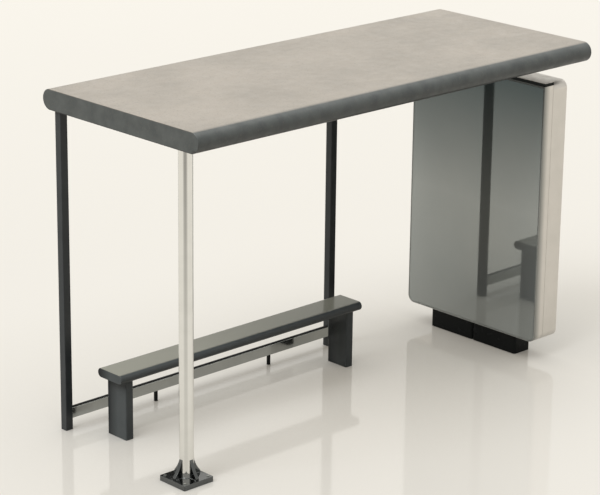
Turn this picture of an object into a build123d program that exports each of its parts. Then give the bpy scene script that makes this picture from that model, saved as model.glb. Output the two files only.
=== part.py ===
from build123d import *
import os
from math import sqrt

# Bus shelter: a flat slab roof carried by two square posts at the back, one round post at the front
# left and a poster case at the right, with a low rail between the back posts and a separate bench.
# Millimetres, +X along the length, +Y to the back, +Z up, ground at z = 0.
# Lengths along X are first laid out from the roof's left end, and lengths along Y from its front edge.

# ---- roof ----
ROOF_LENGTH = 3817
ROOF_WIDTH = 1582
ROOF_THICKNESS = 145
CLEAR_HEIGHT = 2300
ROOF_SKIN = 18          # wall of the top, the soffit and the noses
ROOF_END_PLATE = 12

# ---- back posts, square tube ----
BACK_POST_SIZE = 60
BACK_POST_WALL = 5
BACK_POST_END_INSET = 20
BACK_POST_EDGE_INSET = 100
BACK_POST_SPACING = 2546
POST_FLOOR_PLATE = 8

# ---- front post: round tube on a thick plate, with a gusset to the middle of each side ----
FRONT_POST_DIAMETER = 98
FRONT_POST_WALL = 4
FRONT_POST_END_INSET = 28
FRONT_POST_EDGE_INSET = 161
BASE_PLATE_SIZE = 254
BASE_PLATE_THICKNESS = 37
BASE_PLATE_CORNER_RADIUS = 6
ANCHOR_HOLE_DIAMETER = 14
ANCHOR_HOLE_EDGE = 26
GUSSET_THICKNESS = 26
GUSSET_HEIGHT = 128
GUSSET_CLEARANCE = 0.3
GUSSET_TOP_LAND = 3
GUSSET_TOE_HEIGHT = 16
GUSSET_EDGE_MARGIN = 17
GUSSET_SAG = 9

# ---- low rail between the back posts ----
RAIL_HEIGHT = 77
RAIL_DEPTH = 42
RAIL_WALL = 4
RAIL_UNDERSIDE = 81
RAIL_FACE_SETBACK = 3
BEAD_HEIGHT = 8
BEAD_WIDTH = 12
RAIL_FOOT_SIZE = 22
RAIL_FOOT_DISTANCES = (836, 1943)   # from the left post's outer face to each foot's middle

# ---- bench ----
SEAT_LENGTH = 2320
SEAT_DEPTH = 256
SEAT_THICKNESS = 67
SEAT_TOP = 498
SEAT_EDGE_RADIUS = 33
BENCH_LEFT_GAP = 136    # from the left post's outer face to the seat's left end
BENCH_BACK_GAP = 189    # from the back posts' front faces to the seat's back edge
LEG_THICKNESS = 68
LEG_DEPTH = 200
LEG_EDGE_RADIUS = 10
LEG_END_INSET = 60

# ---- poster case and its plinth ----
CASE_END_INSET = 98     # from the roof's right end to the case's outer face
CASE_THICKNESS = 250
CASE_WIDTH = 1316
CASE_UNDERSIDE = 158
CASE_FRONT_TOP = 2145
CASE_REAR_TOP = 2158
CASE_CORNER_RADIUS = 59
CASE_WALL = 6
CASE_FRONT_DEPTH = 100
CASE_DIVIDER = 4
GLASS_THICKNESS = 8
GASKET_WIDTH = 7
GASKET_DEPTH = 12
HEAD_PLATE_THICKNESS = 25
STUB_SIZE = 60
STUB_WALL = 5
PLINTH_LENGTH = 877
PLINTH_DEPTH = 174
PLINTH_CORNER_RADIUS = 22
PLINTH_WALL = 8
PLINTH_JOINT = 2

# ---- places worked out from the sizes above ----
BASE_OVERHANG = BASE_PLATE_SIZE / 2 - FRONT_POST_DIAMETER / 2 - FRONT_POST_END_INSET
LEFT_END = -(ROOF_LENGTH - max(BASE_OVERHANG, 0)) / 2
FRONT_EDGE = -ROOF_WIDTH / 2
ROOF_TOP = CLEAR_HEIGHT + ROOF_THICKNESS
NOSE_RADIUS = ROOF_THICKNESS / 2

BACK_POST_Y = ROOF_WIDTH - BACK_POST_EDGE_INSET - BACK_POST_SIZE / 2
LEFT_POST_X = BACK_POST_END_INSET + BACK_POST_SIZE / 2
MIDDLE_POST_X = LEFT_POST_X + BACK_POST_SPACING
BACK_POST_FRONT_Y = BACK_POST_Y - BACK_POST_SIZE / 2

FRONT_POST_X = FRONT_POST_END_INSET + FRONT_POST_DIAMETER / 2
FRONT_POST_Y = FRONT_POST_EDGE_INSET + FRONT_POST_DIAMETER / 2
GUSSET_ROOT = FRONT_POST_DIAMETER / 2 + GUSSET_CLEARANCE

RAIL_FRONT_Y = BACK_POST_FRONT_Y + RAIL_FACE_SETBACK
RAIL_CENTRE_Y = RAIL_FRONT_Y + RAIL_DEPTH / 2
RAIL_TOP = RAIL_UNDERSIDE + RAIL_HEIGHT
RAIL_START = LEFT_POST_X + BACK_POST_SIZE / 2
RAIL_LENGTH = BACK_POST_SPACING - BACK_POST_SIZE

BENCH_CENTRE_X = BACK_POST_END_INSET + BENCH_LEFT_GAP + SEAT_LENGTH / 2
BENCH_CENTRE_Y = BACK_POST_FRONT_Y - BENCH_BACK_GAP - SEAT_DEPTH / 2
SEAT_UNDERSIDE = SEAT_TOP - SEAT_THICKNESS

CASE_X = ROOF_LENGTH - CASE_END_INSET - CASE_THICKNESS
CASE_CENTRE_Y = ROOF_WIDTH / 2
HEAD_PLATE_TOP = CASE_FRONT_TOP + HEAD_PLATE_THICKNESS


def placed(shape, x=0, y=0, z=0):
    """Move a shape laid out from the roof's left front corner into the part's frame."""
    return Pos(LEFT_END + x, FRONT_EDGE + y, z) * shape


def block(length, depth, height):
    """Box centred on X and Y, standing on z = 0."""
    return Box(length, depth, height, align=(Align.CENTER, Align.CENTER, Align.MIN))


def from_end(profile, length):
    """Extrude a Y-Z profile along +X from x = 0; the profile's own axes become Y and Z."""
    return extrude(Plane.YZ * profile, length)


def square_tube(size, wall, height, floor_plate=0):
    """Standing square tube; a floor plate closes its lower end."""
    tube = block(size, size, height)
    bore = Pos(0, 0, floor_plate) * block(size - 2 * wall, size - 2 * wall, height)
    return tube - bore


# ---- roof: top, soffit, two rounded noses and two end plates ----
def roof_pieces():
    inner_length = ROOF_LENGTH - 2 * ROOF_END_PLATE
    flat_width = ROOF_WIDTH - 2 * NOSE_RADIUS
    middle_x, middle_y = ROOF_LENGTH / 2, ROOF_WIDTH / 2
    skin = block(inner_length, flat_width, ROOF_SKIN)

    ring = Circle(NOSE_RADIUS) - Circle(NOSE_RADIUS - ROOF_SKIN)
    half = Pos(-NOSE_RADIUS / 2, 0) * Rectangle(NOSE_RADIUS, ROOF_THICKNESS)
    front_nose = from_end(ring & half, inner_length)
    back_nose = from_end(Rot(0, 0, 180) * (ring & half), inner_length)

    end_plate = from_end(SlotOverall(ROOF_WIDTH, ROOF_THICKNESS), ROOF_END_PLATE)
    axis_z = CLEAR_HEIGHT + NOSE_RADIUS
    return {
        "roof_top_panel": placed(skin, middle_x, middle_y, ROOF_TOP - ROOF_SKIN),
        "roof_soffit": placed(skin, middle_x, middle_y, CLEAR_HEIGHT),
        "roof_front_nose": placed(front_nose, ROOF_END_PLATE, NOSE_RADIUS, axis_z),
        "roof_back_nose": placed(back_nose, ROOF_END_PLATE, ROOF_WIDTH - NOSE_RADIUS, axis_z),
        "roof_end_left": placed(end_plate, 0, middle_y, axis_z),
        "roof_end_right": placed(end_plate, ROOF_LENGTH - ROOF_END_PLATE, middle_y, axis_z),
    }


# ---- the two square posts at the back ----
def back_posts():
    post = square_tube(BACK_POST_SIZE, BACK_POST_WALL, CLEAR_HEIGHT, POST_FLOOR_PLATE)
    return {
        "post_back_left": placed(post, LEFT_POST_X, BACK_POST_Y),
        "post_back_middle": placed(post, MIDDLE_POST_X, BACK_POST_Y),
    }


# ---- round front post on its base plate, with a gusset to the middle of each side ----
def round_tube(outer_radius, inner_radius, height):
    """Standing round tube on z = 0, open at both ends."""
    return extrude(Circle(outer_radius) - Circle(inner_radius), height)


def gusset():
    """Upright web along +X whose free edge sweeps down in a hollow curve to a low toe."""
    inside = GUSSET_ROOT / 2
    toe = BASE_PLATE_SIZE / 2 - GUSSET_EDGE_MARGIN
    top = (GUSSET_ROOT + GUSSET_TOP_LAND, GUSSET_HEIGHT)
    end = (toe, GUSSET_TOE_HEIGHT)
    outline = Line((inside, 0), (inside, GUSSET_HEIGHT)) + Line((inside, GUSSET_HEIGHT), top)
    outline += SagittaArc(top, end, -GUSSET_SAG)
    outline += Line(end, (toe, 0)) + Line((toe, 0), (inside, 0))
    web = extrude(Plane.XZ * make_face(outline), GUSSET_THICKNESS / 2, both=True)
    return web - Cylinder(GUSSET_ROOT, 3 * GUSSET_HEIGHT)


def front_post_pieces():
    post_radius = FRONT_POST_DIAMETER / 2
    post = round_tube(post_radius, post_radius - FRONT_POST_WALL, CLEAR_HEIGHT - BASE_PLATE_THICKNESS)
    reach = BASE_PLATE_SIZE / 2 - ANCHOR_HOLE_EDGE
    holes = [Pos(x, y) * Cylinder(ANCHOR_HOLE_DIAMETER / 2, 3 * BASE_PLATE_THICKNESS)
             for x in (reach, -reach) for y in (reach, -reach)]
    outline = RectangleRounded(BASE_PLATE_SIZE, BASE_PLATE_SIZE, BASE_PLATE_CORNER_RADIUS)
    plate = extrude(outline, BASE_PLATE_THICKNESS) - holes
    pieces = {
        "post_front_left": placed(post, FRONT_POST_X, FRONT_POST_Y, BASE_PLATE_THICKNESS),
        "base_plate": placed(plate, FRONT_POST_X, FRONT_POST_Y),
    }
    web = gusset()
    for side, angle in {"right": 0, "back": 90, "left": 180, "front": 270}.items():
        turned = Rot(0, 0, angle) * web
        pieces["gusset_" + side] = placed(turned, FRONT_POST_X, FRONT_POST_Y, BASE_PLATE_THICKNESS)
    return pieces


# ---- low rail: box section, glazing bead on top and small feet ----
def rail_pieces():
    bore = Rectangle(RAIL_DEPTH - 2 * RAIL_WALL, RAIL_HEIGHT - 2 * RAIL_WALL)
    rail = from_end(Rectangle(RAIL_DEPTH, RAIL_HEIGHT) - bore, RAIL_LENGTH)
    bead = Box(RAIL_LENGTH, BEAD_WIDTH, BEAD_HEIGHT, align=(Align.MIN, Align.CENTER, Align.MIN))
    pieces = {
        "back_rail": placed(rail, RAIL_START, RAIL_CENTRE_Y, RAIL_UNDERSIDE + RAIL_HEIGHT / 2),
        "back_rail_bead": placed(bead, RAIL_START, RAIL_CENTRE_Y, RAIL_TOP),
    }
    foot = block(RAIL_FOOT_SIZE, RAIL_FOOT_SIZE, RAIL_UNDERSIDE)
    for side, distance in zip(("left", "right"), RAIL_FOOT_DISTANCES):
        pieces["back_rail_foot_" + side] = placed(foot, BACK_POST_END_INSET + distance, RAIL_CENTRE_Y)
    return pieces


# ---- bench: one slab with rounded long edges on two slab legs ----
def bench_pieces():
    section = RectangleRounded(SEAT_DEPTH, SEAT_THICKNESS, SEAT_EDGE_RADIUS)
    seat = from_end(section, SEAT_LENGTH)
    leg = extrude(RectangleRounded(LEG_THICKNESS, LEG_DEPTH, LEG_EDGE_RADIUS), SEAT_UNDERSIDE)
    leg_reach = SEAT_LENGTH / 2 - LEG_END_INSET - LEG_THICKNESS / 2
    seat_x = BENCH_CENTRE_X - SEAT_LENGTH / 2
    seat_z = SEAT_UNDERSIDE + SEAT_THICKNESS / 2
    return {
        "bench_seat": placed(seat, seat_x, BENCH_CENTRE_Y, seat_z),
        "bench_leg_left": placed(leg, BENCH_CENTRE_X - leg_reach, BENCH_CENTRE_Y),
        "bench_leg_right": placed(leg, BENCH_CENTRE_X + leg_reach, BENCH_CENTRE_Y),
    }


# ---- poster case: two frame rings with a divider between them, a pane and gasket on each face ----
def case_outline(top, inset=0, rounded_top=True):
    """Case outline in Y-Z, from the underside up to the given height."""
    height = top - CASE_UNDERSIDE
    face = Rectangle(CASE_WIDTH - 2 * inset, height - 2 * inset)
    corners = face.vertices()
    if not rounded_top:
        corners = corners.group_by(Axis.Y)[0]
    face = fillet(corners, CASE_CORNER_RADIUS - inset)
    return Pos(0, CASE_UNDERSIDE + height / 2) * face


def case_slice(top, outer, inner, depth, x, rounded_top):
    """Slice of the case between two insets; an inner inset of None leaves it solid."""
    face = case_outline(top, outer, rounded_top)
    if inner is not None:
        face -= case_outline(top, inner, rounded_top)
    return placed(from_end(face, depth), CASE_X + x, CASE_CENTRE_Y)


def case_pieces():
    pane_inset = CASE_WALL + GASKET_WIDTH
    rear_start = CASE_FRONT_DEPTH
    rear_depth = CASE_THICKNESS - CASE_FRONT_DEPTH
    gasket_back = CASE_THICKNESS - GASKET_DEPTH
    glass_back = CASE_THICKNESS - GLASS_THICKNESS
    front = (CASE_FRONT_TOP, False)
    rear = (CASE_REAR_TOP, True)

    def part(side, outer, inner, depth, x):
        return case_slice(side[0], outer, inner, depth, x, side[1])

    head = Box(CASE_FRONT_DEPTH, CASE_WIDTH, HEAD_PLATE_THICKNESS,
               align=(Align.MIN, Align.CENTER, Align.MIN))
    return {
        "case_front_frame": part(front, 0, CASE_WALL, rear_start - CASE_DIVIDER, 0),
        "case_divider": part(front, 0, None, CASE_DIVIDER, rear_start - CASE_DIVIDER),
        "case_rear_frame": part(rear, 0, CASE_WALL, rear_depth, rear_start),
        "case_front_gasket": part(front, CASE_WALL, pane_inset, GASKET_DEPTH, 0),
        "case_rear_gasket": part(rear, CASE_WALL, pane_inset, GASKET_DEPTH, gasket_back),
        "case_front_pane": part(front, pane_inset, None, GLASS_THICKNESS, 0),
        "case_rear_pane": part(rear, pane_inset, None, GLASS_THICKNESS, glass_back),
        "case_head_plate": placed(head, CASE_X, CASE_CENTRE_Y, CASE_FRONT_TOP),
    }


# ---- plinth in two halves, and the stubs that carry the roof off the case ----
def plinth_half():
    """Half of the plinth, hollow and open below, with its rounded outer corners towards -Y."""
    half_length = (PLINTH_LENGTH - PLINTH_JOINT) / 2
    face = Rectangle(PLINTH_DEPTH, half_length)
    face = fillet(face.vertices().group_by(Axis.Y)[0], PLINTH_CORNER_RADIUS)
    core = offset(face, -PLINTH_WALL, kind=Kind.INTERSECTION)
    return extrude(face, CASE_UNDERSIDE) - extrude(core, CASE_UNDERSIDE - PLINTH_WALL)


def support_pieces():
    half = plinth_half()
    reach = (PLINTH_LENGTH + PLINTH_JOINT) / 4
    plinth_x = CASE_X + CASE_THICKNESS / 2
    stub = square_tube(STUB_SIZE, STUB_WALL, CLEAR_HEIGHT - HEAD_PLATE_TOP)
    stub_x = CASE_X + CASE_FRONT_DEPTH / 2
    return {
        "plinth_front": placed(half, plinth_x, CASE_CENTRE_Y - reach),
        "plinth_back": placed(Rot(0, 0, 180) * half, plinth_x, CASE_CENTRE_Y + reach),
        "roof_stub_front": placed(stub, stub_x, CASE_CENTRE_Y - reach, HEAD_PLATE_TOP),
        "roof_stub_back": placed(stub, stub_x, CASE_CENTRE_Y + reach, HEAD_PLATE_TOP),
    }


def main():
    os.makedirs("parts", exist_ok=True)
    groups = (roof_pieces(), back_posts(), front_post_pieces(), rail_pieces(), bench_pieces(),
              case_pieces(), support_pieces())
    for group in groups:
        for name, shape in group.items():
            export_step(shape, f"parts/{name}.step")


main()
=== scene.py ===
"""Bus shelter: finishes, fittings and studio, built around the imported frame.

Metres throughout. +X runs along the shelter towards the poster case, +Y runs from the open front
to the back posts, +Z is up and the ground is at z = 0.
"""
import logging
from dataclasses import dataclass
from enum import Enum
from functools import cache, cached_property
from math import atan2, cos, pi, radians, sin, sqrt
from typing import Callable, Iterable, Self, Sequence

import bmesh
import bpy
from mathutils import Matrix, Vector


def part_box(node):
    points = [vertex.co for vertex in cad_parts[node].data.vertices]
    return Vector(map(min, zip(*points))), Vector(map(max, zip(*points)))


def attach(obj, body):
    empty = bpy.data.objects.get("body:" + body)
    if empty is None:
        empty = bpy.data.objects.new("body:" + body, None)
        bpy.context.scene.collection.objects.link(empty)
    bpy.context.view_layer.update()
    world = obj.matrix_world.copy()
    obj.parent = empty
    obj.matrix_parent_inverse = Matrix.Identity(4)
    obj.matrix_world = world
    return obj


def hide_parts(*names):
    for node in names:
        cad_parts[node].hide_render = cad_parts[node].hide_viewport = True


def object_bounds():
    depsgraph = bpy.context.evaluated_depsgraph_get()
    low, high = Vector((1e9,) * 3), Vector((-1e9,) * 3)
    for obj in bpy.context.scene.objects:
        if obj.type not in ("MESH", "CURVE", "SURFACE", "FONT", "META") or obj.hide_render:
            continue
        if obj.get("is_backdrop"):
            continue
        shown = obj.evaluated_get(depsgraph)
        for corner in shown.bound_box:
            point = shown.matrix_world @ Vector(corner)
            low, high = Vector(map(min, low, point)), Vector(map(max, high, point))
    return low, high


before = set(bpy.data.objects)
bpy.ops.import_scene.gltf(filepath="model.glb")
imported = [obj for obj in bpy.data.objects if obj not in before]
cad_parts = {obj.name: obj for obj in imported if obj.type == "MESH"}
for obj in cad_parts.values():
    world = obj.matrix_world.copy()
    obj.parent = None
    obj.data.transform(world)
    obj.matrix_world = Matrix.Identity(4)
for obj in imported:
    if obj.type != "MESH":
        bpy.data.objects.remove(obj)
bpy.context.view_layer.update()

BODY = "root"
TIGHT = 1e-5
FINE_ARRIS = 0.0005
NEARLY_ROUND = 0.9995
SQUARE_ON = 0.999
SOFT_TURN = 50.0
LOG = logging.getLogger("shelter")
Colour = tuple[float, float, float]
Span = tuple[float, float]
# Heights over which painted shade deepens towards the case's head, on the pane, its gasket and the frame's
# face.
PAINTED_SHADE_RISE: Span = (1.15, 2.20)
MID_NOISE: Span = (0.3, 0.7)
# Painted shade at the pane's head.
PANE_HEAD_SHADE: Colour = (0.13, 0.14, 0.14)
Object = bpy.types.Object
Socket = bpy.types.NodeSocket
Value = Socket | float | Sequence[float]
Element = bmesh.types.BMVert | bmesh.types.BMEdge | bmesh.types.BMFace
Test = Callable[[Vector, Vector], bool]


class Axis(Enum):
    """The three directions of the frame."""

    X = 0
    Y = 1
    Z = 2


class Look(Enum):
    """The finishes of the shelter."""

    MINERAL = "mineral roof"
    LACQUER = "lacquered posts"
    POLISHED = "polished steel"
    CASTING = "coated foot"
    RAIL = "satin rail"
    RUBBER = "black rubber"
    BLACK = "black plinth"
    HEAD = "dark-edged head plate"
    GASKET = "grey glazing gasket"
    BENCH = "polished slab"
    CASE = "champagne case"
    GLASS = "smoked glass"


class Part(Enum):
    """What is selected on a mesh."""

    POINTS = "VERT"
    EDGES = "EDGE"
    FACES = "FACE"


class Reckoning(Enum):
    """Ways to make one number of two."""

    PRODUCT = "MULTIPLY"
    RATIO = "DIVIDE"
    LARGER = "MAXIMUM"


# ---- finishes ----


class Graph:
    """The nodes of a material or a world in the making."""

    def __init__(self, owner: bpy.types.Material | bpy.types.World) -> None:
        """Starts on the nodes that every material or world comes with."""
        owner.use_nodes = True
        self.owner, self.nodes, self.links = owner, owner.node_tree.nodes, owner.node_tree.links

    @cached_property
    def place(self) -> Socket:
        """The object's own coordinates."""
        return self.nodes.new("ShaderNodeTexCoord").outputs["Object"]

    def feed(self, node: bpy.types.Node, values: dict[str | int, Value]) -> bpy.types.Node:
        """Gives a node its inputs.

        Args:
            node: The node.
            values: A socket to link or a value to set, by the input's name or number.

        Returns:
            The node.
        """
        for key, value in values.items():
            target = node.inputs[key]
            if isinstance(value, Socket):
                self.links.new(value, target)
            else:
                target.default_value = (*value, 1.0) if target.type == "RGBA" else value
        return node

    def node(self, kind: str, values: dict[str | int, Value], **settings: str) -> bpy.types.Node:
        """Adds a node.

        Args:
            kind: Its type.
            values: Its inputs, as for feed.
            settings: Its settings.

        Returns:
            The node.
        """
        node = self.nodes.new("ShaderNode" + kind)
        for name, setting in settings.items():
            setattr(node, name, setting)
        return self.feed(node, values)

    def shade(self, **values: Value) -> None:
        """Gives the principled shader its inputs; an underscore stands for a space."""
        self.feed(self.nodes["Principled BSDF"], {k.replace("_", " "): v for k, v in values.items()})

    def stretched(self, scale: Sequence[float]) -> Socket:
        """Object coordinates stretched along the axes by three factors."""
        return self.node("Mapping", {"Scale": scale, "Vector": self.place}).outputs["Vector"]

    def noise(self, scale: float, detail: float = 5.0, place: Socket | None = None) -> Socket:
        """Fractal noise from 0 to 1; scale is features per metre and detail is octaves."""
        values = {"Scale": scale, "Detail": detail, "Vector": place or self.place}
        return self.node("TexNoise", values).outputs["Fac"]

    def cells(self, scale: float) -> Socket:
        """Distance to the nearest of scattered points; scale is points per metre."""
        return self.node("TexVoronoi", {"Scale": scale, "Vector": self.place}).outputs["Distance"]

    def spread(self, value: Socket, source: Span, target: Span = (0.0, 1.0)) -> Socket:
        """Maps a value from one range to another and clamps it."""
        limits = dict(zip(("From Min", "From Max", "To Min", "To Max"), (*source, *target)))
        return self.node("MapRange", {"Value": value, **limits}).outputs["Result"]

    def ramp(self, axis: Axis, span: Span) -> Socket:
        """Rises from 0 to 1 along an axis, over a span of places."""
        split = self.node("SeparateXYZ", {"Vector": self.place})
        return self.spread(split.outputs[axis.value], span)

    def reckoned(self, way: Reckoning, first: Socket, second: Socket) -> Socket:
        """Makes one number of two."""
        return self.node("Math", {0: first, 1: second}, operation=way.value).outputs[0]

    def blend(self, factor: Socket, first: Colour | Socket, second: Colour | Socket) -> Socket:
        """Mixes two colours; the factor is 0 for the first and 1 for the second."""
        return self.node("Mix", {0: factor, 6: first, 7: second}, data_type="RGBA").outputs[2]

    def graded(self, axis: Axis, span: Span, first: Colour | Socket, second: Colour | Socket) -> Socket:
        """Turns from one colour to another along an axis, over a span of places."""
        return self.blend(self.ramp(axis, span), first, second)

    def mixed(self, factor: Socket, first: Socket, second: Socket) -> Socket:
        """Mixes two shaders; the factor is 0 for the first and 1 for the second."""
        return self.node("MixShader", {0: factor, 1: first, 2: second}).outputs[0]

    def relief(self, heights: Iterable[tuple[Socket, float]]) -> None:
        """Stacks bumps on the shader's normal.

        Args:
            heights: Height values with their depths in metres, coarse to fine.
        """
        below: dict[str, Socket] = {}
        for height, depth in heights:
            bump = self.node("Bump", {"Strength": 1.0, "Distance": depth, "Height": height, **below})
            below = {"Normal": bump.outputs["Normal"]}
        self.shade(**below)


@dataclass(frozen=True)
class Finish:
    """What every finish shares: a colour with a darker or lighter companion, and its gloss."""

    name: str
    slot: str
    colour: Colour
    companion: Colour
    roughness: Span
    metallic: float = 0.0
    index: float = 1.5
    coat: float = 0.0
    coat_roughness: float = 0.1

    @cache
    def make(self) -> bpy.types.Material:
        """Builds the material, once however often it is asked for.

        Returns:
            The material.
        """
        graph = Graph(bpy.data.materials.new(self.name))
        graph.shade(Metallic=self.metallic, IOR=self.index, Coat_Weight=self.coat,
                    Coat_Roughness=self.coat_roughness)
        self.lay_on(graph)
        return graph.owner

    def lay_on(self, graph: Graph) -> None:
        """Adds colour, gloss and relief to a material; each finish has its own."""
        raise NotImplementedError

    def clouded(self, graph: Graph, clouds: Socket, span: Span = MID_NOISE) -> Socket:
        """The colour, turning to its companion where the clouds thicken over the span."""
        return graph.blend(graph.spread(clouds, span), self.colour, self.companion)

    def gloss(self, graph: Graph, factor: Socket) -> None:
        """Runs the roughness over its range."""
        graph.shade(Roughness=graph.spread(factor, MID_NOISE, self.roughness))


@dataclass(frozen=True)
class Mineral(Finish):
    """Fine-grained fibre concrete, clouded and pitted, pale on top, with painted shade down its flanks and
    darker painted shade under the soffit and nose.
    """

    # Painted shade: the two dark tones of the flanks, ends, nose and soffit, below the lit top.
    shaded_flank: Colour = (0.076, 0.087, 0.084)
    shaded_flank_pale: Colour = (0.112, 0.124, 0.119)
    # Painted shade under the soffit and along the underside of the front nose.
    underside: Colour = (0.020, 0.021, 0.021)
    soffit_edge: Span = (0.003, 0.007)
    nose_edge: Span = (0.032, 0.018)
    nose_reach: float = 0.03
    # Depth below the top where the painted shade gives way to the pale top.
    lit_top_to: float = 0.0055
    cloud: float = 2.2
    cloud_band: Span = (0.35, 0.65)
    cloud_depth: float = 0.0004
    streak: tuple[float, float, float] = (4.8, 9.6, 9.6)
    streak_band: Span = (0.52, 0.72)
    streak_level: Span = (0.0, 0.12)
    mottle: float = 9.0
    mottle_band: Span = (0.38, 0.62)
    speck: float = 70.0
    speck_band: Span = (0.56, 0.74)
    speck_level: Span = (0.0, 0.45)
    speck_depth: float = 0.00025
    grain: float = 420.0
    grain_depth: float = 0.00008
    haze: float = 14.0
    fleck: Colour = (0.17, 0.155, 0.135)

    def lay_on(self, graph: Graph) -> None:
        """Adds colour, gloss and relief.

        Args:
            graph: The material in the making.
        """
        clouds, specks = graph.noise(self.cloud), graph.noise(self.speck, detail=3.0)
        streaks = graph.noise(1.0, 4.0, graph.stretched(self.streak))
        mottle = graph.spread(graph.noise(self.mottle), self.mottle_band)
        # Painted shade for every face below the top, mottled between its two dark tones.
        shaded_flank = graph.blend(mottle, self.shaded_flank, self.shaded_flank_pale)
        base = self.clouded(graph, clouds, self.cloud_band)
        base = graph.blend(graph.spread(streaks, self.streak_band, self.streak_level), base, self.fleck)
        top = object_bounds()[1].z
        # The top face keeps the pale colour; everything below it takes the painted shade.
        base = graph.graded(Axis.Z, (top - self.lit_top_to, top), shaded_flank, base)
        base = graph.blend(graph.spread(specks, self.speck_band, self.speck_level), base, self.fleck)
        # Painted shade under the soffit.
        base = graph.graded(Axis.Z, self.above_soffit(self.soffit_edge), self.underside, base)
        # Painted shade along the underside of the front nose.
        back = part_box("roof_front_nose")[1].y
        facing_down = graph.ramp(Axis.Z, self.above_soffit(self.nose_edge))
        at_front = graph.ramp(Axis.Y, (back, back - self.nose_reach))
        shade_under_nose = graph.reckoned(Reckoning.PRODUCT, facing_down, at_front)
        graph.shade(Base_Color=graph.blend(shade_under_nose, base, self.underside))
        self.gloss(graph, graph.noise(self.haze, detail=4.0))
        graph.relief([(clouds, self.cloud_depth), (specks, self.speck_depth),
                      (graph.noise(self.grain, detail=2.0), self.grain_depth)])

    def above_soffit(self, span: Span) -> Span:
        """Two heights above the roof's underside, as places."""
        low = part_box("roof_soffit")[0].z
        return low + span[0], low + span[1]


@dataclass(frozen=True)
class Coating(Finish):
    """Paint or powder coat on metal: slight clouding, orange peel and a haze of handling marks."""

    peel: float = 260.0
    peel_depth: float = 0.00004
    cloud: float = 6.0
    haze: float = 18.0

    def lay_on(self, graph: Graph) -> None:
        """Adds colour, gloss and relief.

        Args:
            graph: The material in the making.
        """
        clouds = graph.noise(self.cloud)
        graph.shade(Base_Color=self.dressed(graph, self.clouded(graph, clouds)))
        self.gloss(graph, graph.noise(self.haze))
        peel = graph.noise(self.peel, detail=2.0)
        graph.relief([(clouds, self.peel_depth * 2.0), (peel, self.peel_depth)])

    def dressed(self, graph: Graph, colour: Socket) -> Socket:
        """Leaves the colour as it is; a coating in two tones changes it here."""
        return colour


@dataclass(frozen=True)
class Capped(Coating):
    """Black-edged plate whose upper face has the case's own finish."""

    cap: Colour = (0.62, 0.585, 0.54)
    cap_edge: Span = (0.002, 0.001)

    def dressed(self, graph: Graph, colour: Socket) -> Socket:
        """Lays the cap's colour over the top."""
        start, full = (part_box("case_head_plate")[1].z - depth for depth in self.cap_edge)
        return graph.graded(Axis.Z, (start, full), colour, self.cap)


@dataclass(frozen=True)
class Lipped(Coating):
    """Case finish with painted shade deepening towards its front lip; its flat face matches the pane and
    its painted shade.
    """

    face: Colour = (0.40, 0.41, 0.39)
    # Painted shade at the flat face's head, as on the pane.
    face_head_shade: Colour = PANE_HEAD_SHADE
    face_edge: Span = (0.0002, 0.0008)
    # Painted shade at the front lip, and how far back it fades.
    lip: Colour = (0.195, 0.20, 0.19)
    lip_shade_depth: float = 0.062

    def dressed(self, graph: Graph, colour: Socket) -> Socket:
        """Paints shade on the front lip and matches its flat face to the pane, painted shade included.

        Args:
            graph: The material.
            colour: Its colour elsewhere.

        Returns:
            The colour.
        """
        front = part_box("case_front_frame")[0].x
        start, end = (front + depth for depth in self.face_edge)
        # Painted shade on the front lip.
        colour = graph.graded(Axis.X, (front, front + self.lip_shade_depth), self.lip, colour)
        # The flat face darkens towards the head with the pane's painted shade.
        face = graph.graded(Axis.Z, PAINTED_SHADE_RISE, self.face, self.face_head_shade)
        return graph.graded(Axis.X, (start, end), face, colour)


@dataclass(frozen=True)
class Graded(Coating):
    """Gasket with painted shade deepening towards its head, as on the pane in it."""

    # Painted shade at the head.
    head: Colour = PANE_HEAD_SHADE

    def dressed(self, graph: Graph, colour: Socket) -> Socket:
        """Paints shade towards the head."""
        return graph.graded(Axis.Z, PAINTED_SHADE_RISE, colour, self.head)


@dataclass(frozen=True)
class Polished(Finish):
    """Drawn and polished stainless tube: hairlines around it and a slight haze."""

    hairline: tuple[float, float, float] = (2.0, 2.0, 840.0)
    hairline_depth: float = 0.000004
    haze: float = 9.0
    haze_band: Span = (0.35, 0.7)

    def lay_on(self, graph: Graph) -> None:
        """Adds colour, gloss and relief.

        Args:
            graph: The material in the making.
        """
        lines = graph.noise(1.0, 3.0, graph.stretched(self.hairline))
        haze = graph.noise(self.haze)
        graph.shade(Base_Color=self.clouded(graph, haze, self.haze_band))
        self.gloss(graph, haze)
        graph.relief([(lines, self.hairline_depth)])


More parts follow.
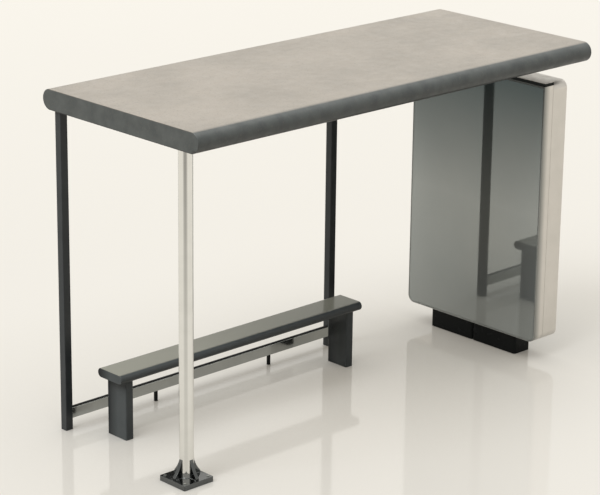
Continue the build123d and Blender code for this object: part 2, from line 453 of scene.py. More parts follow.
@dataclass(frozen=True)
class Composite(Finish):
    """Ground and polished dark slab: fine aggregate under a clear polish, with a painted sheen on the
    seat's top and painted shade towards the back.
    """

    # Painted sheen on the seat's top face, and the depth below the top over which it fades.
    sheen_top: Colour = (0.36, 0.355, 0.29)
    sheen_top_to: float = 0.004
    # Painted shade towards the back of the seat and legs, and the depth over which it deepens.
    rear: Colour = (0.022, 0.024, 0.026)
    rear_shade_depth: float = 0.11
    fleck: Colour = (0.06, 0.06, 0.06)
    fleck_size: Span = (0.0, 0.28)
    fleck_level: Span = (0.8, 0.0)
    grain: float = 320.0
    cloud: float = 5.0
    cloud_depth: float = 0.0002
    haze: float = 11.0
    polish: float = 140.0
    polish_depth: float = 0.00002

    def lay_on(self, graph: Graph) -> None:
        """Adds colour, gloss and relief.

        Args:
            graph: The material in the making.
        """
        clouds = graph.noise(self.cloud)
        flecks = graph.spread(graph.cells(self.grain), self.fleck_size, self.fleck_level)
        base = graph.blend(flecks, self.clouded(graph, clouds), self.fleck)
        back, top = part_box("bench_leg_left")[1].y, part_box("bench_seat")[1].z
        # Painted shade towards the back.
        base = graph.graded(Axis.Y, (back - self.rear_shade_depth, back), base, self.rear)
        # Painted sheen on the seat's top.
        graph.shade(Base_Color=graph.graded(Axis.Z, (top - self.sheen_top_to, top), base, self.sheen_top))
        self.gloss(graph, graph.noise(self.haze))
        polish = graph.noise(self.polish, detail=2.0)
        graph.relief([(clouds, self.cloud_depth), (polish, self.polish_depth)])


@dataclass(frozen=True)
class TintedGlass(Finish):
    """Half-mirrored dark glass with painted shade deepening towards its top, and a faint film of dust."""

    # Painted shade at the pane's head.
    shade: Colour = (0.062, 0.095, 0.102)
    film: float = 1.5
    haze: float = 4.0
    ripple: float = 3.0
    ripple_depth: float = 0.00002

    def lay_on(self, graph: Graph) -> None:
        """Adds colour, gloss and relief.

        Args:
            graph: The material in the making.
        """
        film = self.clouded(graph, graph.noise(self.film))
        # Painted shade towards the head.
        graph.shade(Base_Color=graph.graded(Axis.Z, PAINTED_SHADE_RISE, film, self.shade))
        self.gloss(graph, graph.noise(self.haze))
        graph.relief([(graph.noise(self.ripple, detail=2.0), self.ripple_depth)])


FINISHES: dict[Look, Finish] = {
    Look.MINERAL: Mineral("roof_mineral_clouded", "roof_mineral", (0.475, 0.425, 0.36),
                          (0.40, 0.36, 0.305), (0.34, 0.50), index=1.55),
    Look.LACQUER: Coating("post_lacquer", "dark_lacquer", (0.056, 0.063, 0.066), (0.072, 0.079, 0.081),
                          (0.10, 0.22), index=1.3),
    Look.POLISHED: Polished("post_polished", "polished_steel", (0.785, 0.78, 0.75), (0.745, 0.74, 0.71),
                            (0.04, 0.09), metallic=1.0),
    Look.CASTING: Coating("foot_coating", "dark_casting", (0.068, 0.074, 0.074), (0.056, 0.061, 0.061),
                          (0.06, 0.12), peel=180.0, metallic=1.0, coat=1.0, coat_roughness=0.08),
    Look.RAIL: Coating("rail_satin", "rail_grey", (0.405, 0.415, 0.395), (0.365, 0.375, 0.36), (0.07, 0.14),
                       metallic=1.0),
    Look.RUBBER: Coating("black_rubber_matt", "black_rubber", (0.016, 0.016, 0.016),
                         (0.026, 0.026, 0.025), (0.55, 0.75), peel=500.0),
    Look.BLACK: Coating("black_gloss", "black_steel", (0.008, 0.010, 0.010), (0.012, 0.014, 0.014),
                        (0.16, 0.30), index=1.2, peel_depth=0.00001),
    Look.HEAD: Capped("head_plate_capped", "black_steel", (0.010, 0.011, 0.011), (0.014, 0.015, 0.015),
                      (0.26, 0.38), metallic=1.0),
    Look.GASKET: Graded("gasket_grey", "black_rubber", (0.38, 0.39, 0.37), (0.34, 0.35, 0.33),
                        (0.30, 0.45), peel=500.0),
    Look.BENCH: Composite("bench_polished", "bench_slab", (0.105, 0.118, 0.12), (0.125, 0.138, 0.138),
                          (0.08, 0.18), index=1.25),
    Look.CASE: Lipped("case_satin", "case_metal", (0.635, 0.605, 0.565), (0.595, 0.57, 0.53),
                      (0.28, 0.40), peel=340.0, metallic=1.0),
    Look.GLASS: TintedGlass("smoked_pane", "smoked_glass", (0.455, 0.48, 0.465), (0.42, 0.45, 0.44),
                            (0.02, 0.05), metallic=0.42),
}


# ---- modelling ----


class Workpiece:
    """One mesh under the modeller's hands: a primitive that is cut, rounded and finished."""

    def __init__(self, name: str) -> None:
        """Takes up the primitive that was just added.

        Args:
            name: Name of the finished piece.
        """
        self.object = bpy.context.object
        self.object.name = self.object.data.name = name
        bpy.ops.object.transform_apply(location=True, rotation=True, scale=True)

    @classmethod
    def block(cls, name: str, low: Sequence[float], high: Sequence[float]) -> Self:
        """A block between two corners.

        Args:
            name: Name of the piece.
            low: Lowest corner.
            high: Highest corner.

        Returns:
            The workpiece.
        """
        low, high = Vector(low), Vector(high)
        bpy.ops.mesh.primitive_cube_add(size=1.0, location=(low + high) / 2, scale=high - low)
        return cls(name)

    @classmethod
    def rod(cls, name: str, radius: float, foot: Sequence[float], height: float, sides: int) -> Self:
        """An upright round or many-sided rod.

        Args:
            name: Name of the piece.
            radius: Radius over the corners.
            foot: Middle of the lower end.
            height: Length along Z.
            sides: Number of sides.

        Returns:
            The workpiece.
        """
        middle = Vector(foot) + Vector((0.0, 0.0, height / 2))
        bpy.ops.mesh.primitive_cylinder_add(vertices=sides, radius=radius, depth=height, location=middle)
        return cls(name)

    def pick(self, part: Part, wanted: Callable[[Element], bool]) -> Self:
        """Goes to edit mode and selects what is wanted.

        Args:
            part: Points, edges or faces.
            wanted: Says whether one of them is wanted.

        Returns:
            The workpiece.
        """
        bpy.context.view_layer.objects.active = self.object
        bpy.ops.object.mode_set(mode="EDIT")
        bpy.ops.mesh.select_mode(type=part.value)
        bpy.ops.mesh.select_all(action="DESELECT")
        mesh = bmesh.from_edit_mesh(self.object.data)
        elements = {Part.POINTS: mesh.verts, Part.EDGES: mesh.edges, Part.FACES: mesh.faces}
        for element in elements[part]:
            element.select_set(wanted(element))
        mesh.select_flush_mode()
        bmesh.update_edit_mesh(self.object.data)
        return self

    def edges(self, *tests: Test) -> Self:
        """Selects the edges whose two ends pass every test."""
        return self.pick(Part.EDGES, lambda edge: all(test(*(v.co for v in edge.verts)) for test in tests))

    def modify(self, kind: str, **settings: float | str | bool | Object) -> Self:
        """Adds a modifier and applies it.

        Args:
            kind: Its type.
            settings: Its settings.

        Returns:
            The workpiece.
        """
        select(self.object)
        bpy.ops.object.modifier_add(type=kind)
        modifier = self.object.modifiers[-1]
        for name, setting in settings.items():
            setattr(modifier, name, setting)
        bpy.ops.object.modifier_apply(modifier=modifier.name)
        return self

    def round(self, radius: float, steps: int) -> Self:
        """Rounds the selected edges in so many steps."""
        bpy.ops.mesh.bevel(offset=radius, segments=steps, affect="EDGES", profile=0.5)
        return self

    def ease(self, radius: float, steps: int = 2, angle: float = 30.0) -> Self:
        """Takes the sharpness off every edge that turns by more than an angle."""
        return self.modify("BEVEL", width=radius, segments=steps, limit_method="ANGLE",
                           angle_limit=radians(angle))

    def hollow(self, axis: Axis, wall: float) -> Self:
        """Opens the piece from end to end along an axis and leaves a wall of even thickness.

        Args:
            axis: Direction of the opening.
            wall: Thickness of the wall.

        Returns:
            The workpiece.
        """
        self.pick(Part.FACES, lambda face: abs(face.normal[axis.value]) > SQUARE_ON)
        bpy.ops.mesh.inset(thickness=wall, use_even_offset=True)
        bpy.ops.mesh.bridge_edge_loops()
        return self

    def drill(self, places: Iterable[Vector], radius: float, length: float, sides: int) -> Self:
        """Cuts upright round holes.

        Args:
            places: Middles of the holes.
            radius: Their radius.
            length: Length of the cutter.
            sides: Number of its sides.

        Returns:
            The workpiece.
        """
        select(self.object)
        for place in places:
            foot = place - Vector((0.0, 0.0, length / 2))
            cutter = Workpiece.rod("cutter", radius, foot, length, sides).object
            self.modify("BOOLEAN", operation="DIFFERENCE", solver="EXACT", object=cutter)
            bpy.data.objects.remove(cutter)
        return self

    def nudge(self, test: Callable[[Vector], bool], step: Sequence[float]) -> Self:
        """Moves points by a step.

        Args:
            test: Says whether a point is wanted.
            step: The move.

        Returns:
            The workpiece.
        """
        self.pick(Part.POINTS, lambda point: test(point.co))
        bpy.ops.transform.translate(value=step)
        return self

    def shaped(self, smooth: float = 35.0) -> Object:
        """Turns the normals outwards and smooths the shading.

        Args:
            smooth: Edges that turn by less than this are shaded smooth, in degrees.

        Returns:
            The shaped object.
        """
        self.pick(Part.FACES, lambda face: True)
        bpy.ops.mesh.normals_make_consistent(inside=False)
        select(self.object)
        bpy.ops.object.shade_smooth_by_angle(angle=radians(smooth))
        return self.modify("WEIGHTED_NORMAL", keep_sharp=True).object

    def done(self, look: Look, *nodes: str) -> Object:
        """Shapes the piece and settles it."""
        return settle(self.shaped(), look, *nodes)


def select(*pieces: Object) -> None:
    """Goes to object mode and selects some pieces and nothing else.

    Args:
        pieces: The pieces; the first one becomes the active one.
    """
    if bpy.context.mode != "OBJECT":
        bpy.ops.object.mode_set(mode="OBJECT")
    bpy.ops.object.select_all(action="DESELECT")
    for piece in pieces:
        piece.select_set(True)
    bpy.context.view_layer.objects.active = pieces[0]


def settle(piece: Object, look: Look, *nodes: str) -> Object:
    """Dresses a piece and fastens it to the shelter.

    Args:
        piece: The piece.
        look: Look of its finish.
        nodes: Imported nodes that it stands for.

    Returns:
        The piece.
    """
    piece.data.materials.clear()
    piece.data.materials.append(FINISHES[look].make())
    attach(piece, BODY)
    if nodes:
        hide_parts(*nodes)
    return piece


def repeated(master: Object, moves: dict[str, Matrix]) -> list[Object]:
    """Repeats a shaped object, each copy with its own mesh, and clears the master away.

    Args:
        master: The object that was modelled once.
        moves: Name of each copy and the matrix that takes the master to its place.

    Returns:
        The copies.
    """
    made = []
    for name, move in moves.items():
        select(master)
        bpy.ops.object.duplicate(linked=False)
        twin = bpy.context.object
        twin.name = twin.data.name = name
        twin.data.transform(move)
        made.append(twin)
    bpy.data.objects.remove(master)
    return made


def along(axis: Axis) -> Test:
    """Edges that run along an axis."""
    others = [a for a in range(3) if a != axis.value]
    return lambda a, b: all(abs(a[i] - b[i]) < TIGHT for i in others)


def lying(axis: Axis, place: float) -> Test:
    """Edges that lie in the plane across an axis at a place."""
    return lambda a, b: abs(a[axis.value] - place) < TIGHT and abs(b[axis.value] - place) < TIGHT


def turned(middle: Vector, degrees_about_z: float) -> Matrix:
    """Matrix that turns about an upright line through a point."""
    turn = Matrix.Rotation(radians(degrees_about_z), 4, "Z")
    return Matrix.Translation(middle) @ turn @ Matrix.Translation(-middle)


# ---- the shelter ----


@dataclass
class Assembly:
    """What every sub-assembly has: how it is built, and the shapes that several of them share."""

    def build(self) -> list[Object]:
        """Builds and dresses the pieces; each sub-assembly has its own."""
        raise NotImplementedError

    def eased_block(self, node: str, look: Look, arris: float) -> Object:
        """A packed box with its edges eased."""
        piece = Workpiece.block(node + "_eased", *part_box(node))
        return piece.ease(arris).done(look, node)

    def bar(self, node: str, look: Look, axis: Axis, corner: float, arris: float = FINE_ARRIS) -> Object:
        """A packed bar with rounded corners along its length.

        Args:
            node: The node that it stands for.
            look: Look of its finish.
            axis: Direction of its length.
            corner: Radius of the corners.
            arris: Width of the eased end edges.

        Returns:
            The piece.
        """
        piece = Workpiece.block(node + "_bar", *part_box(node))
        piece.edges(along(axis)).round(corner, steps=6).ease(arris)
        return piece.done(look, node)


@dataclass
class Roof(Assembly):
    """Flat slab with a round nose along its front and back, closed by a plate at each end."""

    joint: float = 0.0006
    arris: float = 0.0025
    steps: int = 24

    def build(self) -> list[Object]:
        """Builds the panels, noses and end plates.

        Returns:
            The pieces.
        """
        return [self.eased_block("roof_top_panel", Look.MINERAL, self.joint),
                self.eased_block("roof_soffit", Look.MINERAL, self.joint),
                self.nose("front", 0), self.nose("back", 1), self.end("left", 0), self.end("right", 1)]

    def bend(self, node: str) -> float:
        """Radius that rounds a piece over its whole height, but for a hair."""
        return (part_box(node)[1].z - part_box(node)[0].z) / 2 * NEARLY_ROUND

    def nose(self, side: str, outer: int) -> Object:
        """One rounded long edge.

        Args:
            side: Front or back.
            outer: Which corner of its box is on its outer edge, 0 for the lowest.

        Returns:
            The nose.
        """
        node = f"roof_{side}_nose"
        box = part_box(node)
        piece = Workpiece.block(node + "_round", *box)
        piece.edges(along(Axis.X), lying(Axis.Y, box[outer].y)).round(self.bend(node), self.steps)
        return piece.ease(self.joint).done(Look.MINERAL, node)

    def end(self, side: str, outer: int) -> Object:
        """One end plate with its outer edge eased.

        Args:
            side: Left or right.
            outer: Which corner of its box is on its outer face, 0 for the lowest.

        Returns:
            The end plate.
        """
        node = "roof_end_" + side
        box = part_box(node)
        piece = Workpiece.block(node + "_plate", *box)
        piece.edges(along(Axis.X)).round(self.bend(node), self.steps)
        piece.edges(lying(Axis.X, box[outer].x)).round(self.arris, steps=3)
        return piece.done(Look.MINERAL, node)


@dataclass
class BackPosts(Assembly):
    """Two square tubes, each with a bead of sealant where it meets the soffit."""

    corner: float = 0.005
    bead: float = 0.004
    bead_roundness: float = 0.9

    def build(self) -> list[Object]:
        """Builds the posts and their sealant.

        Returns:
            The pieces.
        """
        made = []
        for side in ("left", "middle"):
            node = "post_back_" + side
            made.append(self.bar(node, Look.LACQUER, Axis.Z, self.corner))
            made.append(self.sealant(side, *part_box(node)))
        return made

    def sealant(self, side: str, low: Vector, high: Vector) -> Object:
        """The bead of sealant round the head of a post.

        Args:
            side: Left or middle.
            low: Lowest corner of the post.
            high: Highest corner of the post.

        Returns:
            The bead.
        """
        out = Vector((self.bead, self.bead, 0.0))
        foot = Vector((low.x, low.y, high.z - self.bead))
        piece = Workpiece.block("post_head_sealant_" + side, foot - out, high + out)
        piece.edges(along(Axis.Z)).round(self.bead + self.corner, steps=5)
        piece.edges(lying(Axis.Z, foot.z)).round(self.bead * self.bead_roundness, steps=4)
        return piece.done(Look.RUBBER)


@dataclass
class FrontPost(Assembly):
    """Polished round post on a thick base plate, with a hollow-curved gusset to each side."""

    sides: int = 96
    plate_corner: float = 0.006
    plate_arris: float = 0.002
    gusset_thickness: float = 0.026
    gusset_clearance: float = 0.0003
    gusset_land: float = 0.003
    gusset_toe: float = 0.016
    gusset_sag: float = 0.009
    gusset_steps: int = 14
    gusset_arris: float = 0.002
    weld: float = 0.004
    weld_sides: int = 12
    weld_rise: float = 0.8
    weld_taper: float = 0.4
    rosette_reach: float = 0.018
    rosette_height: float = 0.006
    rosette_roundness: float = 0.6
    anchor_edge: float = 0.026
    hole_radius: float = 0.007
    hole_sides: int = 40
    drill_length: float = 0.2
    washer: Span = (0.0115, 0.002)
    washer_sides: int = 32
    head: Span = (0.0095, 0.004)
    head_arris: float = 0.0009

    def __post_init__(self) -> None:
        """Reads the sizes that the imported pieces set."""
        self.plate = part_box("base_plate")
        self.tube_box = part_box("post_front_left")
        centre = (self.plate[0] + self.plate[1]) / 2
        self.middle = Vector((centre.x, centre.y, self.plate[1].z))
        self.tube_radius = (self.tube_box[1].x - self.tube_box[0].x) / 2

    def build(self) -> list[Object]:
        """Builds the post, its welds, the gussets, the base plate and its anchors."""
        return [self.tube(), self.rosette(), self.tube_weld(), self.base(), *self.gussets(),
                *self.gusset_welds(), *self.anchors()]

    def tube(self) -> Object:
        """The polished tube.

        Returns:
            The tube.
        """
        height = self.tube_box[1].z - self.middle.z
        piece = Workpiece.rod("post_front_tube", self.tube_radius, self.middle, height, self.sides)
        return piece.ease(FINE_ARRIS).done(Look.POLISHED, "post_front_left")

    def rosette(self) -> Object:
        """Cover ring where the tube meets the soffit.

        Returns:
            The ring.
        """
        foot = Vector((self.middle.x, self.middle.y, self.tube_box[1].z - self.rosette_height))
        radius = self.tube_radius + self.rosette_reach
        piece = Workpiece.rod("post_front_rosette", radius, foot, self.rosette_height, self.sides)
        piece.hollow(Axis.Z, self.rosette_reach)
        piece.edges(lying(Axis.Z, foot.z)).round(self.rosette_height * self.rosette_roundness, steps=5)
        return piece.done(Look.POLISHED)

    def tube_weld(self) -> Object:
        """Weld bead round the foot of the tube.

        Returns:
            The bead.
        """
        bpy.ops.mesh.primitive_torus_add(location=self.middle, major_radius=self.tube_radius,
                                         minor_radius=self.weld, major_segments=self.sides,
                                         minor_segments=self.weld_sides)
        return Workpiece("foot_weld_ring").done(Look.CASTING)

    def base(self) -> Object:
        """Base plate with rounded corners, an eased top and four drilled holes.

        Returns:
            The plate.
        """
        low, high = self.plate
        piece = Workpiece.block("foot_plate", low, high)
        piece.edges(along(Axis.Z)).round(self.plate_corner, steps=5)
        piece.edges(lying(Axis.Z, high.z)).round(self.plate_arris, steps=3)
        piece.drill(self.anchor_places(), self.hole_radius, self.drill_length, self.hole_sides)
        return piece.done(Look.CASTING, "base_plate")

    def gussets(self) -> list[Object]:
        """One gusset shaped along +X, then turned to each side of the plate.

        Returns:
            The gussets.
        """
        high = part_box("gusset_right")[1]
        half = self.gusset_thickness / 2
        reach, height = high.x - self.middle.x, high.z - self.middle.z
        start = sqrt((self.tube_radius + self.gusset_clearance) ** 2 - half ** 2)
        low = self.middle + Vector((start, -half, 0.0))
        piece = Workpiece.block("gusset", low, self.middle + Vector((reach, half, height)))
        piece.edges(along(Axis.X))
        bpy.ops.mesh.subdivide(number_cuts=self.gusset_steps)
        pitch = (reach - start) / (self.gusset_steps + 1)
        columns = [low.x + pitch * i for i in range(self.gusset_steps + 2)]
        curve = [(start, height), *self.hollow_curve(reach, height)]
        for x, (distance, rise) in zip(columns, curve):
            piece.nudge(lambda p: abs(p.x - x) < TIGHT and p.z > self.middle.z + TIGHT,
                        (0.0, 0.0, rise - height))
        shifts = [(x, self.middle.x + distance - x) for x, (distance, _) in zip(columns, curve)]
        outward = [shift for shift in reversed(shifts) if shift[1] > 0.0]
        inward = [shift for shift in shifts if shift[1] <= 0.0]
        for x, step in outward + inward:
            piece.nudge(lambda p: abs(p.x - x) < TIGHT, (step, 0.0, 0.0))
        piece.ease(self.gusset_arris, steps=3, angle=40.0)
        turns = {"right": 0.0, "back": 90.0, "left": 180.0, "front": 270.0}
        moves = {f"gusset_{side}_web": turned(self.middle, angle) for side, angle in turns.items()}
        webs = repeated(piece.shaped(), moves)
        return [settle(web, Look.CASTING, "gusset_" + side) for web, side in zip(webs, turns)]

    def hollow_curve(self, length: float, height: float) -> list[tuple[float, float]]:
        """Points down the gusset's free edge, from the land at its top to its toe.

        Args:
            length: Distance of the toe from the post's axis.
            height: Height of the land above the plate.

        Returns:
            Distance and height of each point.
        """
        top = Vector((self.tube_radius + self.gusset_clearance + self.gusset_land, height))
        toe = Vector((length, self.gusset_toe))
        chord = toe - top
        radius = (chord.length_squared / 4 + self.gusset_sag ** 2) / (2 * self.gusset_sag)
        normal = Vector((-chord.y, chord.x)).normalized()
        centre = (top + toe) / 2 + normal * (radius - self.gusset_sag)
        first, last = (atan2(p.y - centre.y, p.x - centre.x) % (2 * pi) for p in (top, toe))
        angles = [first + (last - first) * i / self.gusset_steps for i in range(self.gusset_steps + 1)]
        return [(centre.x + radius * cos(a), centre.y + radius * sin(a)) for a in angles]

    def gusset_welds(self) -> list[Object]:
        """Weld beads along both sides of each gusset's foot.

        Returns:
            The beads.
        """
        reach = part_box("gusset_right")[1].x - self.middle.x - self.weld
        length = reach - self.tube_radius
        place = self.middle + Vector((self.tube_radius + length / 2, self.gusset_thickness / 2, 0.0))
        bpy.ops.mesh.primitive_cylinder_add(vertices=self.weld_sides, radius=self.weld * self.weld_rise,
                                            depth=length, location=place, rotation=(0.0, pi / 2, 0.0))
        bead = Workpiece("foot_weld").ease(self.weld * self.weld_taper, angle=60.0)
        across = Matrix.Translation(Vector((0.0, -self.gusset_thickness, 0.0)))
        moves = {f"foot_weld_{i + 1}{side}": turned(self.middle, 90.0 * i) @ shift
                 for i in range(4) for side, shift in (("a", Matrix()), ("b", across))}
        return [settle(b, Look.CASTING) for b in repeated(bead.shaped(60.0), moves)]

    def anchor_places(self) -> list[Vector]:
        """Middles of the four anchor holes, on top of the plate near its corners."""
        reach = (self.plate[1].x - self.plate[0].x) / 2 - self.anchor_edge
        return [self.middle + Vector((x, y, 0.0)) for x in (-reach, reach) for y in (-reach, reach)]

    def anchors(self) -> list[Object]:
        """Washer and low hexagon head, modelled once and copied to each hole.

        Returns:
            The anchors.
        """
        (washer_r, washer_h), (head_r, head_h) = self.washer, self.head
        lift = Vector((0.0, 0.0, washer_h))
        washer = Workpiece.rod("washer", washer_r, self.middle, washer_h, self.washer_sides)
        washer.ease(FINE_ARRIS)
        head = Workpiece.rod("head", head_r, self.middle + lift, head_h, sides=6).ease(self.head_arris)
        shapes = [washer.shaped(), head.shaped()]
        select(*shapes)
        bpy.ops.object.join()
        moves = {f"foot_anchor_{i + 1}": Matrix.Translation(p - self.middle)
                 for i, p in enumerate(self.anchor_places())}
        return [settle(a, Look.RAIL) for a in repeated(shapes[0], moves)]


@dataclass
class BackRail(Assembly):
    """Low box rail between the back posts, with a bead along its top and two small feet."""

    corner: float = 0.003
    bead_crown: float = 0.004

    def build(self) -> list[Object]:
        """Builds the rail, its bead and its feet.

        Returns:
            The pieces.
        """
        rail = self.bar("back_rail", Look.RAIL, Axis.X, self.corner)
        feet = [self.bar("back_rail_foot_" + side, Look.BLACK, Axis.Z, self.corner)
                for side in ("left", "right")]
        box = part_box("back_rail_bead")
        bead = Workpiece.block("back_rail_bead_crowned", *box)
        bead.edges(along(Axis.X), lying(Axis.Z, box[1].z)).round(self.bead_crown, steps=6)
        return [rail, bead.done(Look.RUBBER, "back_rail_bead"), *feet]


@dataclass
class Bench(Assembly):
    """One slab with round long edges on two slab legs."""

    nose: float = 0.033
    nose_steps: int = 16
    end_arris: float = 0.004
    leg_corner: float = 0.010
    leg_arris: float = 0.0015

    def build(self) -> list[Object]:
        """Builds the seat and the legs.

        Returns:
            The pieces.
        """
        seat = Workpiece.block("bench_seat_slab", *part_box("bench_seat"))
        seat.edges(along(Axis.X)).round(self.nose, self.nose_steps).ease(self.end_arris, 4, SOFT_TURN)
        legs = [self.bar("bench_leg_" + side, Look.BENCH, Axis.Z, self.leg_corner, self.leg_arris)
                for side in ("left", "right")]
        return [seat.done(Look.BENCH, "bench_seat"), *legs]


@dataclass
class PosterCase(Assembly):
    """Two frames back to back round a divider, each with a gasket and a dark pane."""

    corner: float = 0.059
    corner_steps: int = 16
    wall: float = 0.006
    gasket: float = 0.007
    frame_arris: float = 0.0025
    gasket_arris: float = 0.0015
    pane_arris: float = 0.001
    divider_arris: float = 0.0003
    plate_arris: float = 0.002

    def build(self) -> list[Object]:
        """Builds the frames, divider, gaskets, panes and head plate.

        Returns:
            The pieces.
        """
        layers = (("frame", Look.CASE, 0.0, self.frame_arris, self.wall),
                  ("gasket", Look.GASKET, self.wall, self.gasket_arris, self.gasket),
                  ("pane", Look.GLASS, self.wall + self.gasket, self.pane_arris, 0.0))
        made = [self.layer(f"case_{side}_{what}", look, inset, arris, width, side == "rear")
                for side in ("front", "rear") for what, look, inset, arris, width in layers]
        made.append(self.layer("case_divider", Look.CASE, 0.0, self.divider_arris, 0.0, False))
        made.append(self.eased_block("case_head_plate", Look.HEAD, self.plate_arris))
        return made

    def layer(self, node: str, look: Look, inset: float, arris: float, width: float,
              rounded_top: bool) -> Object:
        """A frame, gasket, pane or plate with its corners rounded as the case is.

        Args:
            node: The node that it stands for.
            look: Look of its finish.
            inset: How far it lies inside the case's outline.
            arris: Width of its eased edges.
            width: Width of its rim if it is open from face to face, or 0 if it is whole.
            rounded_top: Whether the upper corners are round too.

        Returns:
            The layer.
        """
        low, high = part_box(node)
        piece = Workpiece.block(node + "_made", low, high)
        below = [] if rounded_top else [lying(Axis.Z, low.z)]
        piece.edges(along(Axis.X), *below).round(self.corner - inset, self.corner_steps)
        if width:
            piece.hollow(Axis.X, width)
        piece.ease(arris, 3 if width else 2, SOFT_TURN)
        return piece.done(look, node)


@dataclass
class Supports(Assembly):
    """The plinth's two halves under the case, and the two stubs above it."""

    corner: float = 0.022
    meeting: float = 0.02
    arris: float = 0.0015
    stub_corner: float = 0.005

    def build(self) -> list[Object]:
        """Builds the plinth and the stubs.

        Returns:
            The pieces.
        """
        halves = [self.plinth("front", 0), self.plinth("back", 1)]
        stubs = [self.bar("roof_stub_" + side, Look.BLACK, Axis.Z, self.stub_corner)
                 for side in ("front", "back")]
        return halves + stubs

    def plinth(self, side: str, outer: int) -> Object:
        """Half of the plinth.

        Args:
            side: Front or back.
            outer: Which corner of its box is on its outer edge, 0 for the lowest.

        Returns:
            The half.
        """
        node = "plinth_" + side
        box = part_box(node)
        piece = Workpiece.block(node + "_half", *box)
        for corner, radius, steps in ((box[outer], self.corner, 10), (box[1 - outer], self.meeting, 8)):
            piece.edges(along(Axis.Z), lying(Axis.Y, corner.y)).round(radius, steps)
        return piece.ease(self.arris, angle=SOFT_TURN).done(Look.BLACK, node)


# ---- studio ----


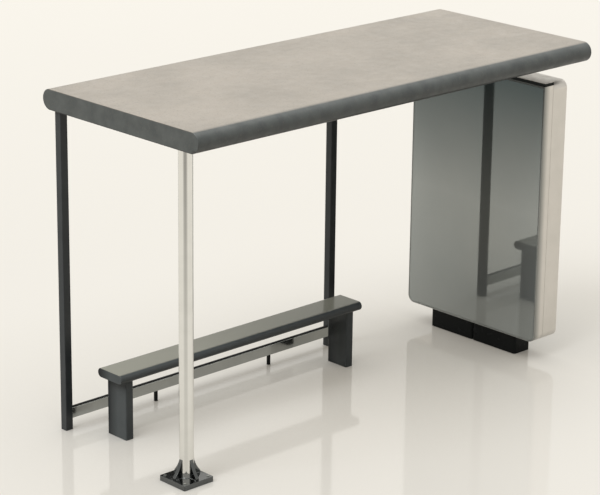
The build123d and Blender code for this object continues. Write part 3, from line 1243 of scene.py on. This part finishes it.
@dataclass
class Studio:
    """Pale floor, even light from all round and above, and the camera."""

    floor_half: float = 90.0
    floor_colour: Colour = (0.42, 0.43, 0.43)
    floor_bounce: Colour = (0.16, 0.158, 0.152)
    floor_glow: Colour = (0.40, 0.36, 0.295)
    glow_reach: float = 2.2
    floor_roughness: float = 0.07
    floor_index: float = 1.45
    backdrop: Colour = (0.86, 0.845, 0.80)
    dome: float = 0.07
    dome_colour: Colour = (1.0, 0.985, 0.96)
    overhead: float = 0.60
    overhead_spread: float = 84.0
    side: float = 0.46
    side_spread: float = 36.0
    side_turn: float = -44.0
    dark_turn: float = 223.0
    dark_sector: Span = (0.16, 0.75)
    dark_start: Span = (0.05, 0.3)
    dark_distance: Span = (0.4, 7.5)
    dark_depth: Span = (0.12, 0.56)
    lamp_height: float = 8.0
    camera_place: tuple[float, float, float] = (-11.4646, -11.7463, 6.4392)
    camera_azimuth: float = -43.7158
    camera_elevation: float = 18.0268
    camera_roll: float = 0.6966
    lens: float = 144.46
    sensor: float = 36.0
    clip: Span = (0.1, 400.0)

    def build(self) -> None:
        """Builds the floor, the world, the lamps and the camera."""
        self.floor()
        self.world()
        self.lamp("overhead", self.overhead, self.overhead_spread, (0.0, 0.0, 0.0))
        self.lamp("left_side", self.side, self.side_spread, (0.0, radians(self.side_turn), 0.0))
        self.camera()
        bpy.context.scene.view_settings.view_transform = "Standard"

    def floor(self) -> None:
        """Wide pale floor that shows shadows and soft reflections."""
        bpy.ops.mesh.primitive_plane_add(size=2 * self.floor_half, location=(0.0, 0.0, 0.0))
        floor = bpy.context.object
        floor.name = "studio_floor"
        graph = Graph(bpy.data.materials.new("studio_floor"))
        around = graph.node("AmbientOcclusion", {"Color": self.floor_glow, "Distance": self.glow_reach})
        graph.shade(Base_Color=self.floor_colour, Roughness=self.floor_roughness, IOR=self.floor_index,
                    Emission_Color=around.outputs["Color"], Emission_Strength=1.0)
        path = graph.node("LightPath", {}).outputs
        lit = graph.nodes["Principled BSDF"].outputs[0]
        bounce, dark = (graph.node("BsdfDiffuse", {"Color": colour}).outputs[0]
                        for colour in (self.floor_bounce, (0.0, 0.0, 0.0)))
        seen = graph.mixed(self.unlit(graph, path["Is Glossy Ray"]), lit, dark)
        seen = graph.mixed(path["Is Diffuse Ray"], seen, bounce)
        graph.feed(graph.nodes["Material Output"], {"Surface": seen})
        floor.data.materials.append(graph.owner)
        floor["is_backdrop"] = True

    def unlit(self, graph: Graph, glossy: Socket) -> Socket:
        """The unlit side of the studio, which only gloss sees, so that the round post looks round.

        Args:
            graph: The floor's material.
            glossy: 1 for what is seen by reflection.

        Returns:
            How dark the floor looks there.
        """
        low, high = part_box("post_front_left")
        foot = (low + high) / 2
        mapping = graph.node("Mapping", {"Vector": graph.place, "Location": (foot.x, foot.y, 0.0),
                                         "Rotation": (0.0, 0.0, radians(self.dark_turn))},
                             vector_type="TEXTURE")
        split = graph.node("SeparateXYZ", {"Vector": mapping.outputs["Vector"]})
        away, aside = split.outputs["X"], split.outputs["Y"]
        ratio = graph.reckoned(Reckoning.RATIO, aside, away)
        squared = graph.reckoned(Reckoning.PRODUCT, ratio, ratio)
        dark = graph.spread(squared, tuple(edge ** 2 for edge in self.dark_sector), (1.0, 0.0))
        for factor in (graph.spread(away, self.dark_distance, self.dark_depth),
                       graph.spread(away, self.dark_start), glossy):
            dark = graph.reckoned(Reckoning.PRODUCT, dark, factor)
        return dark

    def world(self) -> None:
        """Pale backdrop for the camera and for gloss, and an even dome of light for the rest."""
        world = bpy.data.worlds.new("studio")
        bpy.context.scene.world = world
        graph = Graph(world)
        light = graph.feed(graph.nodes["Background"], {"Color": self.dome_colour, "Strength": self.dome})
        shown = graph.node("Background", {"Color": self.backdrop})
        path = graph.node("LightPath", {}).outputs
        seen = path["Is Camera Ray"]
        for ray in ("Is Glossy Ray", "Is Transmission Ray"):
            seen = graph.reckoned(Reckoning.LARGER, seen, path[ray])
        mix = graph.mixed(seen, light.outputs[0], shown.outputs[0])
        graph.feed(graph.nodes["World Output"], {"Surface": mix})

    def lamp(self, name: str, level: float, spread: float, turn: Sequence[float]) -> None:
        """A far, wide and soft lamp.

        Args:
            name: Its name.
            level: Light on a surface that faces it, where 1 shows a colour as it is written.
            spread: Angle that it fills, in degrees.
            turn: Rotation from straight above.
        """
        bpy.ops.object.light_add(type="SUN", location=(0.0, 0.0, self.lamp_height), rotation=turn)
        lamp = bpy.context.object
        lamp.name = name
        lamp.data.energy = level * pi
        lamp.data.angle = radians(spread)

    def camera(self) -> None:
        """The camera, at the height and angle of a standing onlooker a little way off."""
        bpy.ops.object.camera_add(location=self.camera_place)
        camera = bpy.context.object
        camera.rotation_mode = "QUATERNION"
        turn = (Matrix.Rotation(radians(self.camera_azimuth), 3, "Z")
                @ Matrix.Rotation(radians(90.0 - self.camera_elevation), 3, "X")
                @ Matrix.Rotation(radians(self.camera_roll), 3, "Z"))
        camera.rotation_quaternion = turn.to_quaternion()
        camera.data.sensor_width = self.sensor
        camera.data.lens = self.lens
        camera.data.clip_start, camera.data.clip_end = self.clip
        bpy.context.scene.camera = camera


def main() -> None:
    """Builds the shelter in order, then the studio, and logs each piece's face count."""
    logging.basicConfig(level=logging.INFO, format="%(name)s: %(message)s")
    for kind in (Roof, BackPosts, FrontPost, BackRail, Bench, PosterCase, Supports):
        for piece in kind().build():
            LOG.info("%s: %s, %d faces", kind.__name__, piece.name, len(piece.data.polygons))
    Studio().build()


if __name__ == "__main__":
    main()
